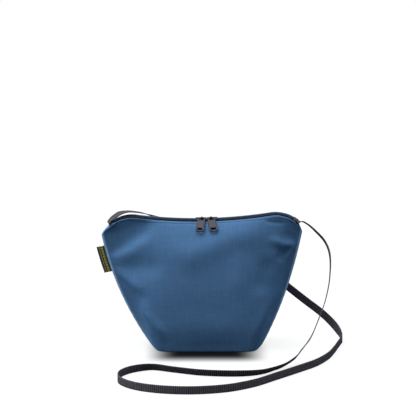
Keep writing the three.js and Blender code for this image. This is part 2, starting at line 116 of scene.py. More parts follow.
class Paint:                    # one material, or the world, and its nodes
    def __init__(self, name, kind=bpy.data.materials):
        self.material = kind.new(name)
        self.material.use_nodes = True
        self.tree = self.material.node_tree
        self.tree.nodes.clear()

    def give(self, socket, value):
        if isinstance(value, Wire):
            self.tree.links.new(value.socket, socket)
        else:
            socket.default_value = value

    def node(self, kind, settings=None, values=None, output=0):
        made = self.tree.nodes.new("ShaderNode" + kind)
        for key, value in (settings or {}).items():
            setattr(made, key, value)
        pairs = values.items() if isinstance(values, dict) else enumerate(values or [])
        for key, value in pairs:
            self.give(made.inputs[key], value)
        return Wire(self, made.outputs[output])

    def mix(self, share, first, second):
        first, second = [v if isinstance(v, Wire) else (*v, 1) for v in (first, second)]
        return self.node("Mix", {"data_type": "RGBA"}, {0: share, 6: first, 7: second}, 2)

    def flat(self, count=2):        # where a point lies along and across the flat piece, in metres
        wire = self.node("Attribute", {"attribute_name": "flat"}, None, 1)
        return [self.node("SeparateXYZ", None, [wire], i) for i in range(count)]

    def noise(self, scale, detail):
        place = self.node("TexCoord", None, None, 3)
        return self.node("TexNoise", None, {"Vector": place, "Scale": scale, "Detail": detail})

    def stretched(self, along, across, scale, ratio, detail, seed):
        place = self.node("CombineXYZ", None, [along * scale, across * (scale * ratio), seed])
        return self.node("TexNoise", None, {"Vector": place, "Scale": 1.0, "Detail": detail})

    def yarns(self, along, across, scale, ratio, detail, seeds):    # uneven threads both ways
        warp = self.stretched(along, across, scale, ratio, detail, seeds[0])
        weft = self.stretched(across, along, scale, ratio, detail, seeds[1])
        return warp * 0.5 + weft * 0.5

    def bump(self, height, distance, strength):
        values = {"Height": height, "Distance": distance * mm, "Strength": strength}
        return self.node("Bump", None, values)

    # one shader for what the camera or a reflection sees, another for the light that comes off
    def bySight(self, seen, other):
        camera, glossy, through = [self.node("LightPath", None, None, "Is %s Ray" % kind)
                                   for kind in ("Camera", "Glossy", "Transmission")]
        factor = camera.maths("MAXIMUM", camera.maths("MAXIMUM", camera, glossy), through)
        return self.node("MixShader", None, [factor, other, seen])

    def close(self, shader, end="OutputMaterial"):
        self.give(self.tree.nodes.new("ShaderNode" + end).inputs[0], shader)
        return self.material

    def finish(self, **values):
        values = {key.replace("_", " "): value for key, value in values.items()}
        return self.close(self.node("BsdfPrincipled", None, values))


def srgb(red, green, blue):
    channels = [value / 255 for value in (red, green, blue)]
    return tuple(c / 12.92 if c <= 0.04045 else ((c + 0.055) / 1.055) ** 2.4 for c in channels)


def addObject(name, data):
    made = bpy.data.objects.new(name, data)
    bpy.context.collection.objects.link(made)
    return made


def setCamera():
    data = bpy.data.cameras.new("camera")
    data.lens = view["lens"]
    data.sensor_width = view["sensor"]
    data.sensor_fit = "HORIZONTAL"
    data.clip_end = view["reach"]
    camera = addObject("camera", data)
    camera.location = view["place"]
    camera.rotation_euler = (math.radians(90 - view["pitch"]), 0, 0)
    bpy.context.scene.camera = camera
    bpy.context.scene.view_settings.view_transform = "Standard"


def softSun(name, tilt, spread, power, tint):
    data = bpy.data.lights.new(name, "SUN")
    data.angle = math.radians(spread)
    data.energy = power
    data.color = tint
    lamp = addObject(name, data)
    lamp.rotation_euler = (math.radians(tilt[0]), math.radians(tilt[1]), 0)


def setFloor():
    floor = Paint("floor")
    place = floor.node("TexCoord", None, None, 3)
    # a painted shadow: the floor that the camera and reflections see goes dark towards the front of
    # the base
    shade = 1
    for axis, (middle, edges) in enumerate(zip(light["shadeMiddle"], light["shadeEdges"])):
        part = abs(floor.node("SeparateXYZ", None, [place], axis) - middle * mm) / mm
        shade = (1 - part.over(*edges) ** light["shadePower"]) * shade
    tints = [floor.mix(shade, [level] * 3, light["shadeTint"]) for level in (light["floorSeen"], 1)]
    white = floor.node("BsdfDiffuse", None, tints[:1])
    glow = floor.node("Emission", None, [tints[1], light["floorGlow"]])
    seen = floor.node("AddShader", None, [white, glow])
    other = floor.node("BsdfDiffuse", None, [(*[light["floorBounce"]] * 3, 1)])
    mesh = bpy.data.meshes.new("floor")
    half = light["floorHalf"]
    corners = [(-half, -half, 0), (half, -half, 0), (half, half, 0), (-half, half, 0)]
    mesh.from_pydata(corners, [], [(0, 1, 2, 3)])
    mesh.materials.append(floor.close(floor.bySight(seen, other)))
    addObject("floor", mesh)


def setWorld():
    world = Paint("world", bpy.data.worlds)
    seen = world.node("Background", None, [(1, 1, 1, 1), 1.0])
    other = world.node("Background", None, [(*light["worldTint"], 1), light["worldStrength"]])
    bpy.context.scene.world = world.close(world.bySight(seen, other), "OutputWorld")


def setLamps():
    softSun("softbox", light["sunTilt"], light["sunSpread"], light["sunPower"], (1, 1, 1))
    for power, tilt in light["fills"]:
        softSun("fill", tilt, light["fillSpread"], power, light["fillTint"])


print("camera, floor and light")
setCamera()
setFloor()
setWorld()
setLamps()


# Meshes from points in millimetres. Each carries its points' places on the flat piece

def addPiece(name, points, faces, flat, material, node, rides=body):
    mesh = bpy.data.meshes.new(name)
    mesh.from_pydata([tuple(p) for p in points * mm], [], faces)
    mesh.update()
    rows = np.zeros((len(points), 3))
    rows[:, :flat.shape[1]] = flat * mm
    mesh.attributes.new("flat", "FLOAT_VECTOR", "POINT").data.foreach_set("vector", rows.ravel())
    mesh.polygons.foreach_set("use_smooth", [True] * len(mesh.polygons))
    mesh.materials.append(material)
    piece = addObject(name, mesh)
    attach(piece, rides)
    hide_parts(node)
    return piece


def gridFaces(rows, columns, closedRows=False, closedColumns=False, start=0, flip=False):
    faces = []
    for r in range(rows if closedRows else rows - 1):
        for c in range(columns if closedColumns else columns - 1):
            a = start + r * columns + c
            b = start + r * columns + (c + 1) % columns
            d = start + (r + 1) % rows * columns + c
            e = start + (r + 1) % rows * columns + (c + 1) % columns
            faces.append((a, d, e, b) if flip else (a, b, e, d))
    return faces


# Rings joined one after another, the first and the last filled
def capped(count, size, flip=False, start=0):
    faces = gridFaces(count, size, closedColumns=True, start=start, flip=flip)
    first, last = [tuple(start + row * size + i for i in range(size)) for row in (0, count - 1)]
    return faces + ([first, last[::-1]] if flip else [first[::-1], last])


def addRings(name, rings, flats, material, node, flip=False):
    count, size = rings.shape[:2]
    return addPiece(name, rings.reshape(-1, 3), capped(count, size, flip),
                    flats.reshape(count * size, -1), material, node)


# A closed shell: its rows run up the outside, over the edge and down the inside
def addShell(name, rows, flats, outer, flip, material, node):
    count, columns = rows.shape[:2]
    faces = gridFaces(count, columns, closedRows=True, flip=flip)
    sides = [(r, r + 1, count - 2 - r, count - 1 - r) for r in range(outer - 1)]
    if count > 2 * outer:
        sides.append(range(outer - 1, count - outer + 1))
    for column in (0, columns - 1):
        for side in sides:
            face = tuple(r * columns + column for r in side)
            faces.append(face if (column == 0) != flip else face[::-1])
    addPiece(name, rows.reshape(-1, 3), faces, flats.reshape(count * columns, -1),
             material, node)


def unit(vectors):
    return vectors / np.linalg.norm(vectors, axis=-1, keepdims=True)


def smooth01(value, low, high):
    t = np.clip((value - low) / (high - low), 0, 1)
    return t * t * (3 - 2 * t)


# Comes in over one range and goes out over another
def between(value, rise, fall):
    return smooth01(value, *rise) * (1 - smooth01(value, *fall))


# A rounding: nought at the edge, one from the width on
def quarterRound(away, width):
    return np.sqrt(np.clip(1 - np.clip(1 - away / width, 0, 1) ** 2, 0, None))


def runsAlong(line):
    return np.concatenate([[0], np.cumsum(np.linalg.norm(np.diff(line, axis=0), axis=-1))])


def readAt(at, runs, rows):
    return np.column_stack([np.interp(at, runs, column) for column in rows.T])


def tubeRings(spots, outward, radius, sides=6):
    along = unit(np.gradient(spots, axis=0))
    out = unit(outward - along * np.sum(outward * along, axis=1, keepdims=True))
    across = np.cross(along, out)
    wide = np.broadcast_to(radius, len(spots))[:, None]
    return np.stack([spots + (out * math.cos(t) + across * math.sin(t)) * wide
                     for t in np.arange(sides) * 2 * math.pi / sides], axis=1)


def addTube(name, spots, outward, radius, flat, material, node):
    rings = tubeRings(spots, outward, radius)
    flats = np.repeat(np.stack(flat, axis=-1)[:, None], rings.shape[1], axis=1)
    addRings(name, rings, flats, material, node)


# The strap: one length of ribbed webbing

strap = {
    "width": 10.0, "thickness": 1.2,
    "ribPitch": 2.5, "ribDepth": 0.2, "stepsPerRib": 5,
    "edge": 0.5, "edgeRib": 0.3,        # rounding of the woven edges, and the share of a rib there
    "faceShares": (0.55, 0.0, -0.55),   # where the flat faces have points between their edges
    "underside": 50.0,                  # sets the two faces apart on the flat piece
    "yarn": 0.62, "bump": 0.22,
    "pathEvery": 6,                     # rings between two points of the cord's path
}

# x, y, z of the middle and the way that the width lies
strapRoute = [
    (-128.6, -1.3, 161.4, 0.19, -0.96, -0.22), (-126, -0.5, 164.7, 0.26, -0.93, -0.26),
    (-121.6, 0.7, 168.3, 0.4, -0.85, -0.32), (-113.6, 3, 173.4, 0.42, -0.85, -0.3),
    (-104.5, 6, 175.2, 0.3, -0.95, -0.08), (-95.5, 9, 174.6, 0.28, -0.96, -0.05),
    (-84.5, 13, 172.4, 0.25, -0.96, 0), (-63.5, 19, 165.5, 0.28, -0.91, 0.28),
    (-37.5, 26, 156, 0.45, -0.6, 0.6), (-7.5, 33, 144, 0.55, -0.42, 0.72),
    (22.5, 37, 129, 0.58, -0.35, 0.74), (52.5, 40, 111, 0.6, -0.25, 0.76),
    (82.5, 41, 90, 0.62, -0.15, 0.77), (111, 41, 67, 0.64, -0.08, 0.77),
    (132.5, 41, 50, 0.62, -0.05, 0.78), (154.5, 41, 33, 0.58, 0, 0.8),
    (169.5, 39, 18.5, 0.45, 0, 0.9), (177.5, 30, 8.5, 0.15, 0, 1), (179, 12, 5.1, 0, 0, 1),
    (175.7, -4.6, 5.1, 0, 0, 1), (170.8, -26, 5.1, 0, 0, 1), (162.8, -60, 5.1, 0, 0, 1),
    (153, -94, 5.1, 0, 0, 1), (135.5, -132, 5.1, 0, 0, 1), (114.5, -162, 5.1, 0, 0, 1),
    (84.5, -202, 5.1, 0, 0, 1), (55.5, -239, 5.1, 0, 0, 1), (22.5, -264, 5.1, 0, 0, 1),
    (-17.5, -274, 5.1, 0, 0, 1), (-55.5, -268.5, 5.1, 0, 0, 1), (-85.5, -251, 5.1, 0, 0, 1),
    (-103.5, -223, 5.1, 0, 0, 1), (-104.5, -193, 5.1, 0, 0, 1),
    (-90.5, -167, 5.1, 0.1, -0.12, 0.98), (-67.5, -154.5, 5, 0, -0.42, 0.9),
    (-39.5, -167.8, 4.8, -0.18, -0.44, 0.87), (-5.5, -184, 4.9, -0.1, -0.45, 0.88),
    (37.5, -189, 4.9, 0.05, -0.47, 0.87), (64.5, -180.5, 4.5, 0.34, -0.51, 0.79),
    (84.5, -158, 4.2, 0.56, -0.41, 0.72), (98.5, -135, 4.4, 0.54, -0.46, 0.71),
    (112, -117, 9.5, 0.4, -0.55, 0.73), (120.8, -102, 17, 0.44, -0.62, 0.65),
    (132, -84, 27.5, 0.19, -0.68, 0.71), (142.5, -66, 46.5, 0.08, -0.78, 0.63),
    (151.8, -50, 67, 0.07, -0.84, 0.54), (158.5, -34, 94, 0.01, -0.9, 0.44),
    (159, -22, 124, 0.06, -0.89, 0.45), (153, -13, 139, -0.03, -0.88, 0.48),
    (140.5, -6, 152.2, -0.05, -0.91, 0.4), (133, -3, 158.6, -0.08, -0.94, 0.33),
    (125, -1, 163, -0.08, -0.97, 0.25), (120.2, -0.8, 162.8, -0.1, -0.97, -0.15),
    (118.2, -0.6, 164, -0.2, -0.956, -0.215),
]


# A smooth line through the points, close enough together to be measured, with what goes along
def smoothLine(points, extras, perSpan=60):
    ends = [2 * points[0] - points[1], 2 * points[-1] - points[-2]]
    line = np.vstack([ends[0], points, ends[1]])
    t = np.linspace(0, 1, perSpan, endpoint=False)[:, None]
    made, carried = [], []
    for i in range(len(points) - 1):
        a, b, c, d = line[i:i + 4]
        first, second, third = [math.sqrt(np.linalg.norm(q - p))
                                for p, q in ((a, b), (b, c), (c, d))]
        leave = ((b - a) / first - (c - a) / (first + second) + (c - b) / second) * second
        arrive = ((c - b) / second - (d - b) / (second + third) + (d - c) / third) * second
        cubic = 2 * (b - c) + leave + arrive
        square = 3 * (c - b) - 2 * leave - arrive
        made.append(b + leave * t + square * t ** 2 + cubic * t ** 3)
        carried.append(extras[i] + (extras[i + 1] - extras[i]) * t)
    made.append(points[-1:])
    carried.append(extras[-1:])
    return np.vstack(made), np.vstack(carried)


def evenly(line, extras, step):
    runs = runsAlong(line)
    at = np.linspace(0, runs[-1], int(round(runs[-1] / step)) + 1)
    return readAt(at, runs, line), readAt(at, runs, extras), at


# Half-round edges joined by two flat faces: across, out, and how much a rib raises it
def webbingSection():
    half, thick, edge = strap["width"] / 2, strap["thickness"] / 2, strap["edge"]
    ring = []
    for angle in math.pi * (np.arange(5) / 4 - 0.5):
        x, y = half - edge + edge * math.cos(angle), thick * math.sin(angle)
        ring.append((x, y, strap["edgeRib"]))
    ring += [(share * (half - edge), thick, 1.0) for share in strap["faceShares"]]
    return ring + [(-x, -y, rib) for x, y, rib in ring]


def webbing(name, line, leans, node):
    spots, ways, at = evenly(line, leans, strap["ribPitch"] / strap["stepsPerRib"])
    along = unit(np.gradient(spots, axis=0))
    width = unit(ways - along * np.sum(ways * along, axis=1, keepdims=True))
    face = np.cross(width, along)
    swell = strap["ribDepth"] * (np.sin(np.pi * at / strap["ribPitch"]) ** 2 - 1)
    rings, flats = [], []
    for x, y, rib in webbingSection():
        rings.append(spots + width * x + face * (y + np.sign(y) * swell * rib)[:, None])
        place = x if y >= 0 else x + strap["underside"]
        flats.append(np.column_stack([at, np.full(len(at), place)]))
    rings, flats = np.stack(rings, axis=1), np.stack(flats, axis=1)
    return addRings(name, rings, flats, blackWebbing, node), spots, at


def webbingPaint():
    paint = Paint("black webbing")
    along, across = paint.flat()
    ribs = along / (strap["ribPitch"] * mm)
    rib = ribs.wave()
    yarn = (across / (strap["yarn"] * mm) + ribs).wave()
    fuzz = paint.noise(900, 3)
    # the rib crests are painted lighter, a painted highlight along each rib; yarn and fuzz are the
    # webbing's own uneven tone
    shade = rib ** 2 * 0.75 + yarn * 0.15 + fuzz * 0.2 - 0.05
    colour = paint.mix(shade, srgb(5, 5, 7), srgb(112, 106, 113))
    normal = paint.bump(rib * 0.7 + yarn * 0.3, strap["bump"], 0.8)
    return paint.finish(Base_Color=colour, Roughness=0.8, Normal=normal, Specular_IOR_Level=0.0)


blackWebbing = webbingPaint()


def makeStrap():
    rows = np.array(strapRoute, float)
    line, leans = smoothLine(rows[:, :3], rows[:, 3:])
    piece, spots, at = webbing("strap_webbing", line, leans, "strap")
    print("strap length", round(float(at[-1])), "mm")


print("strap")
makeStrap()


# The bag's surface, the same form as the CAD solids'

shape = {
    "baseHalfWidth": 73.5, "baseHalfDepth": 50.0,
    "seamHalfWidth": 132.2, "seamTopHalfWidth": 123.2, "widestShare": 0.925,
    "lean": 6.5, "bulge": 5.0, "crownHalfDepth": 7.0, "wall": 1.4,
    "zipHeight": 164.2, "zipShift": -4.4, "zipRoll": 1.0, "zipTilt": 17.0,
    "sagRadius": 640.0, "sagHalfLength": 88.0, "shoulderRadius": 42.2, "shoulderDrop": 43.7,
    "lipHalfGap": 5.0, "shelfWidth": 1.5, "shelfShare": 0.98, "shelfBlend": (0.9, 0.978),
    "cornerBlend": (0.94, 1.0),
    "cornerBase": 0.87, "cornerTop": 0.55, "cornerWeight": 5.0,
    "bend": 0.6, "bendFade": 0.13, "crown": 1.7, "crownRound": 0.7,
    "clearance": 0.3, "sectionSteps": 97,
}
sagAngle = shape["sagHalfLength"] / shape["sagRadius"]
shoulderTurn = sagAngle + math.radians(shape["shoulderDrop"])
chainHalf = shape["sagHalfLength"] + shape["shoulderRadius"] * shoulderTurn
lipHeight = shape["clearance"] + shape["wall"]


# Spots, ways along, across and out of the zip's chain at distances from its middle
def zipFrame(distance):
    distance = np.asarray(distance, float)
    side = np.where(distance < 0, -1.0, 1.0)
    run = np.abs(distance)
    radius, shoulder, half = shape["sagRadius"], shape["shoulderRadius"], shape["sagHalfLength"]
    past = run > half
    slope = np.where(past, sagAngle - (run - half) / shoulder, run / radius)
    beyond = shoulder * (math.sin(sagAngle) - np.sin(slope))
    x = side * np.where(past, radius * math.sin(sagAngle) + beyond, radius * np.sin(slope))
    fallen = shoulder * (np.cos(slope) - math.cos(sagAngle))
    z = np.where(past, radius * (1 - math.cos(sagAngle)) + fallen, radius * (1 - np.cos(slope)))
    roll, tilt = math.radians(shape["zipRoll"]), math.radians(shape["zipTilt"])
    spot = np.stack([x * math.cos(roll) - z * math.sin(roll) + shape["zipShift"], 0 * x,
                     x * math.sin(roll) + z * math.cos(roll) + shape["zipHeight"]], axis=-1)
    angle = side * slope + roll
    along = np.stack([np.cos(angle), 0 * angle, np.sin(angle)], axis=-1)
    up = np.stack([-np.sin(angle), 0 * angle, np.cos(angle)], axis=-1)
    back = np.array([0.0, 1.0, 0.0])
    sideways = back * math.cos(tilt) + up * math.sin(tilt)
    return spot, along, sideways, up * math.cos(tilt) - back * math.sin(tilt)


def zipPoint(distance, across, height):
    spot, _, sideways, out = zipFrame(distance)
    across, height = [np.asarray(value, float)[..., None] for value in (across, height)]
    return spot + sideways * across + out * height


# A level's half section from the middle to the seam, with shares of its length and its shift in x
def halfSection(level):
    over = max(0.0, (level - shape["widestShare"]) / (1 - shape["widestShare"]))
    run = min(level / shape["widestShare"], 1)
    bend = shape["bend"] - shape["bendFade"] * run
    spread = shape["seamHalfWidth"] - shape["baseHalfWidth"]
    width = shape["baseHalfWidth"] + spread * run * (1 + bend * (1 - run))
    width -= (shape["seamHalfWidth"] - shape["seamTopHalfWidth"]) * over ** 2
    crown = (1 - level ** shape["crown"]) ** shape["crownRound"]
    depth = shape["crownHalfDepth"] + (shape["baseHalfDepth"] - shape["crownHalfDepth"]) * crown
    depth += shape["bulge"] * math.sin(math.pi * level)
    shift = -shape["lean"] * (1 - (1 - level) ** 2)
    shift += (shape["lean"] + shape["zipShift"]) * over ** 2
    corner = shape["cornerBase"] + (shape["cornerTop"] - shape["cornerBase"]) * level
    weight = 1 + shape["cornerWeight"] * (1 - level) ** 3
    t = np.linspace(0, 1, shape["sectionSteps"])
    first, middle, last = (1 - t) ** 2, 2 * weight * t * (1 - t), t ** 2
    total = first + middle + last
    x, y = width * (middle * corner + last) / total, depth * (first + middle) / total
    runs = runsAlong(np.column_stack([x, y]))
    return x, y, runs / runs[-1], shift


# The outer surface over a grid: side is -1 in front and 1 behind, shares run from seam to seam
def bodyGrid(side, shares, levels, edgeInset=0.0, lower=0.0):
    rows = []
    spot = zipFrame(shares * chainHalf)[0]
    reach = np.abs(shares)
    for level in levels:
        x, y, runs, shift = halfSection(min(level, 1.0))
        below = np.stack([shift + np.sign(shares) * np.interp(reach, runs, x),
                          side * np.interp(reach, runs, y), level * spot[:, 2]], axis=-1)
        shelf = (1 - level) / (1 - shape["shelfShare"])
        across = shape["lipHalfGap"] + edgeInset + (shape["shelfWidth"] - edgeInset) * shelf
        edge = zipPoint(shares * chainHalf, side * across, lipHeight - lower)
        t = smooth01(level, *shape["shelfBlend"]) * (1 - smooth01(reach, *shape["cornerBlend"]))
        point = below * (1 - t[:, None]) + edge * t[:, None]
        point[:, 1] = side * np.maximum(side * point[:, 1], shape["clearance"] / 2)
        rows.append(point)
    return np.array(rows)


def gridNormals(points, side):
    rise = np.gradient(points, axis=0)
    run = np.gradient(points, axis=1)
    return unit(np.cross(run, rise) * -side)


print("surface ready, zip half length", round(chainHalf, 2))


# The cloth panels

cloth = {
    # the third colour is a painted highlight: the lighter edge beside the seams, in place of rim
    # light
    "dark": (66, 101, 140), "light": (82, 118, 156), "rimHighlight": (158, 190, 226),
    "weave": 0.85, "liningWeave": 0.5, "bump": 0.16,
    "columns": 221, "rows": 120, "topRows": 44, "topFrom": 0.9, "bunching": 1.15,
    "halfSpan": 150.0,          # from a panel's middle to its seams, roughly
    "edgeInset": 0.7,           # radius of the folded edge along the zip
    "lower": (0.6, 0.9),        # how far the edge lies under the CAD's, in front and behind
    "innerShare": 0.93, "innerFoot": 0.35, "leastDepth": 0.1,
    "foldSeams": (1, 14),       # folds fade out at the seams, the base and zip, and their ends
    "foldLevels": ((0.0, 0.1), (0.93, 0.985)), "foldEnds": ((0, 0.35), (0.65, 1)),
    "hollowRoom": (0.6, 0.1),   # the share of the depth that a hollow may take, and the least
    "puckerPitch": 9.0, "puckerHeight": 0.15, "puckerReach": 9.0, "puckerSway": (2, 17),
    "puckerLevels": ((0.02, 0.1), (0.93, 0.99)),
    "stitchValley": 4.6, "stitchDepth": 0.5, "stitchWidth": 1.3, "stitchSway": 23.0,
    "stitchEnds": (0.9, 0.95),
    "rimPuff": 1.8, "rimAway": 5.0, "rimWidth": 3.0,        # behind the zip, at the right shoulder
    "rimShares": ((0.8, 0.9), (0.95, 1.0)),
    "sideRim": (2.0, 3.4), "rimFade": 16.0,     # height and width of the rounding at each seam
    "sideLevels": ((0.0, 0.08), (0.93, 0.985)),
    "seamRoll": (6.5, 2.0),     # how far and how deep the cloth turns in at the side seams
    "seamTop": (0.97, 1.0),
    "hemRoll": 1.8,             # and at the base
    "highlightSide": 2.7, "highlightRun": 16.0,           # the painted highlight beside the seams, a lighter edge in place of rim light, across and along
    "highlightFade": (1.3, 0.5), "highlightShare": 0.85,
    "liningLevels": (0.045, 0.93), "liningGaps": (0.35, 0.95), "liningDepth": 0.2,
}

# Folds of the front: middle line as x, z points; half width; height (below nought is a hollow)
frontFolds = [
    # the left shoulder sinks in and comes out again below
    ([(-160, 122), (-130.9, 132), (-119.4, 137), (-106.8, 144), (-94.1, 152),
      (-77.4, 159), (-62, 163)], 12, -11),
    ([(-150, 117), (-128.1, 120), (-113.9, 119.5), (-99.8, 124), (-87.2, 134),
      (-73.2, 144), (-60, 151)], 10, 1.4),
    ([(-116.1, 109.3), (-98.2, 106.8), (-75.2, 108.1), (-52.1, 103.1)], 13, -3.0),
    # the point in the middle
    ([(-73.2, 147.2), (-53.7, 138.7), (-36.9, 128.9), (-21.5, 122.8), (-3.5, 128.9),
      (17.0, 138.7), (37.7, 144.7), (77.8, 152.0), (100, 157)], 17, 4.6),
    # the right shoulder
    ([(71.7, 164.9), (89.7, 163.2), (105.2, 161.5)], 3, -1.6),
    ([(97, 154), (104, 147.5), (110, 143), (118, 138.7), (134, 132)], 6, -1.6),
    ([(76.4, 144.7), (89.1, 138.7), (100.6, 133.8), (112.2, 133.8), (124, 134)], 5.5, 3.0),
    ([(117.3, 135.0), (112.0, 128.9), (106.8, 121.6), (102.7, 110.5)], 2.6, 1.7),
    ([(105.7, 132.6), (99.1, 122.8), (93.8, 110.5)], 6, -2.0),
    # the left side, from its upper corner down to the base's
    ([(-123.8, 108.1), (-116.0, 99.4), (-100.5, 89.4), (-86.4, 79.4), (-81.2, 68.0)], 7, 2.6),
    ([(-81.2, 70.6), (-78.6, 50.2), (-68.4, 37.2), (-58.2, 26.8), (-51.8, 8.4)], 7, 2.8),
    ([(-108.1, 78.1), (-95.2, 62.9), (-84.9, 42.4), (-72.2, 19.0)], 8, -1.4),
    # the right side
    ([(103.8, 98.2), (93.4, 73.1), (78.0, 52.7), (65.2, 26.8), (57.6, 8.4)], 8, 2.4),
    ([(81.2, 124.1), (75.7, 99.4), (67.8, 68.0)], 12, -2.8),
    ([(40.2, 135.0), (42.5, 105.6), (42.4, 68.0)], 12, 1.4),
    # the belly over the base
    ([(-62.0, 39.8), (-34.0, 32.0), (0.3, 29.4), (34.7, 32.0), (62.7, 42.4)], 18, 2.2),
]
backFolds = [
    ([(-140, 130), (-118, 136), (-96, 146), (-70, 156)], 11, -4.5),
    ([(-72, 140), (-40, 130), (-6, 124), (30, 131), (66, 143)], 18, 3.2),
    ([(70, 158), (92, 148), (112, 138), (130, 130)], 9, -4.0),
    ([(-112, 104), (-98, 84), (-84, 62), (-66, 30), (-56, 8)], 8, 2.4),
    ([(108, 108), (96, 82), (80, 56), (66, 28), (58, 8)], 8, 2.2),
    ([(-40, 96), (-8, 84), (28, 90)], 18, -2.2),
    ([(-58, 40), (-20, 33), (22, 35), (58, 44)], 18, 2.2),
]


def foldRelief(points, folds):
    x, z = points[..., 0], points[..., 2]
    relief = np.zeros(x.shape)
    for line, width, height in folds:
        line = np.array(line, float)
        lengths = np.hypot(*np.diff(line, axis=0).T)
        total = lengths.sum()
        best = np.full(x.shape, np.inf)
        along = np.zeros(x.shape)
        before = 0.0
        for (ax, az), (bx, bz), length in zip(line[:-1], line[1:], lengths):
            t = np.clip(((x - ax) * (bx - ax) + (z - az) * (bz - az)) / length ** 2, 0, 1)
            away = np.hypot(x - ax - t * (bx - ax), z - az - t * (bz - az))
            nearer = away < best
            best = np.where(nearer, away, best)
            along = np.where(nearer, (before + t * length) / total, along)
            before += length
        relief += height * np.exp(-(best / width) ** 2) * between(along, *cloth["foldEnds"])
    return relief


def clothFlat(points):
    middle = points.shape[1] // 2
    steps = np.linalg.norm(np.diff(points, axis=1), axis=-1)
    u = np.concatenate([np.zeros((len(points), 1)), np.cumsum(steps, axis=1)], axis=1)
    v = runsAlong(points[:, middle])[:, None] + 0 * u
    return np.stack([u - u[:, middle:middle + 1], v], axis=-1)


def sidesAway(points):
    return [np.linalg.norm(points - points[:, [end]], axis=-1) for end in (0, -1)]


# How far each point stands out for folds, puckers, the stitches and the rim behind the zip
def panelRelief(points, side, shares, level, folds):
    reach = np.abs(shares)
    seamAway = (1 - reach) * cloth["halfSpan"]
    fade = smooth01(seamAway, *cloth["foldSeams"]) * between(level, *cloth["foldLevels"])
    relief = foldRelief(points, folds) * fade
    share, least = cloth["hollowRoom"]
    room = np.maximum(np.abs(points[..., 1]) * share, least)
    relief = np.where(relief < 0, -room * np.tanh(-relief / room), relief)

    # puckers where the side seams pull
    x, z = points[..., 0], points[..., 2]
    sway, run = cloth["puckerSway"]
    ripple = np.sin(z * 2 * math.pi / cloth["puckerPitch"] + sway * np.sin(z / run))
    ripple *= np.exp(-seamAway / cloth["puckerReach"]) * between(level, *cloth["puckerLevels"])
    relief += cloth["puckerHeight"] * ripple

    # a valley along the stitches under the zip
    edgeAway = np.linalg.norm(points - points[-1:], axis=-1)
    valley = np.exp(-((edgeAway - cloth["stitchValley"]) / cloth["stitchWidth"]) ** 2)
    valley *= 0.7 + 0.3 * np.sin(x / cloth["stitchSway"] + 1.4)
    relief -= cloth["stitchDepth"] * valley * (1 - smooth01(reach, *cloth["stitchEnds"]))
    if side > 0:
        puff = np.exp(-((edgeAway - cloth["rimAway"]) / cloth["rimWidth"]) ** 2)
        relief += cloth["rimPuff"] * puff * between(shares, *cloth["rimShares"])
    return relief


# The cloth turned in at the side seams and at the base
def turnedIn(points, normals, level, sides):
    run, depth = cloth["seamRoll"]
    for end, away in zip((-1, 1), sides):
        inward = depth * (1 - quarterRound(away, run)) * (1 - smooth01(level, *cloth["seamTop"]))
        seam = points[:, 0 if end < 0 else -1]
        outward = unit(np.cross(unit(np.gradient(seam, axis=0)), (0.0, -1.0, 0.0)) * end)
        points = points - outward[:, None, :] * inward[..., None]
    hem = cloth["hemRoll"]
    below = np.clip(hem - points[..., 2], 0, hem)
    inward = hem - np.sqrt(np.clip(hem ** 2 - below ** 2, 0, None))
    return points - normals * (1, 1, 0) * inward[..., None]


def clothPanel(name, side, node, lining, folds):
    t = np.linspace(-1, 1, cloth["columns"])
    shares = 1.5 * t - 0.5 * t ** 3
    rise, top = np.linspace(0, 1, cloth["rows"], endpoint=False), cloth["topFrom"]
    rise = rise ** cloth["bunching"] * top
    levels = np.concatenate([rise, np.linspace(top, 1, cloth["topRows"])])
    level = levels[:, None]
    lower = cloth["lower"][side > 0]
    points = bodyGrid(side, shares, levels, cloth["edgeInset"], lower)
    normals = gridNormals(points, side)
    flat = clothFlat(points)

    relief = panelRelief(points, side, shares, level, folds)
    height, run = cloth["sideRim"]
    away = np.minimum(*sidesAway(points))
    rim = quarterRound(away, run) * np.exp(-away / cloth["rimFade"])
    points = points + normals * relief[..., None]
    points[..., 1] += side * height * rim * between(level, *cloth["sideLevels"])
    sides = sidesAway(points)
    points = turnedIn(points, normals, level, sides)

    # for the painted highlight, a lighter edge in place of rim light: how far each spot is inside
    # the outline seen from the front
    x = points[..., 0]
    inside = np.minimum(x - x.min(axis=1, keepdims=True), x.max(axis=1, keepdims=True) - x)
    paintedRim = np.maximum(inside / cloth["highlightSide"], np.minimum(*sides) / cloth["highlightRun"])
    flat = np.concatenate([flat, paintedRim[..., None]], axis=-1)

    # the folded edge and the inside
    normals = gridNormals(points, side)
    inner = points - normals * shape["wall"] * cloth["innerShare"]
    _, _, sideways, out = zipFrame(shares * chainHalf)
    thick = shape["wall"] - lower
    inner[-1] = points[-1] - out * thick
    turns = []
    for turn in np.radians([36, 72, 108, 144]):
        aside, fall = side * cloth["edgeInset"] * math.sin(turn), thick / 2 * (1 - math.cos(turn))
        turns.append(points[-1] - sideways * aside - out * fall)
    turns = np.array(turns)
    for grid in (inner, turns):
        grid[..., 1] = side * np.maximum(side * grid[..., 1], cloth["leastDepth"])
    inner[0, :, 2] = cloth["innerFoot"]
    rows = np.concatenate([points, turns, inner[::-1]])
    flats = np.concatenate([flat, np.repeat(flat[-1:], len(turns), axis=0), flat[::-1]])
    addShell(name, rows, flats, len(levels), side > 0, blueCloth, node)
    makeLining(lining + "_cloth", side, points, normals, levels, flat, lining)
    return points, normals, shares


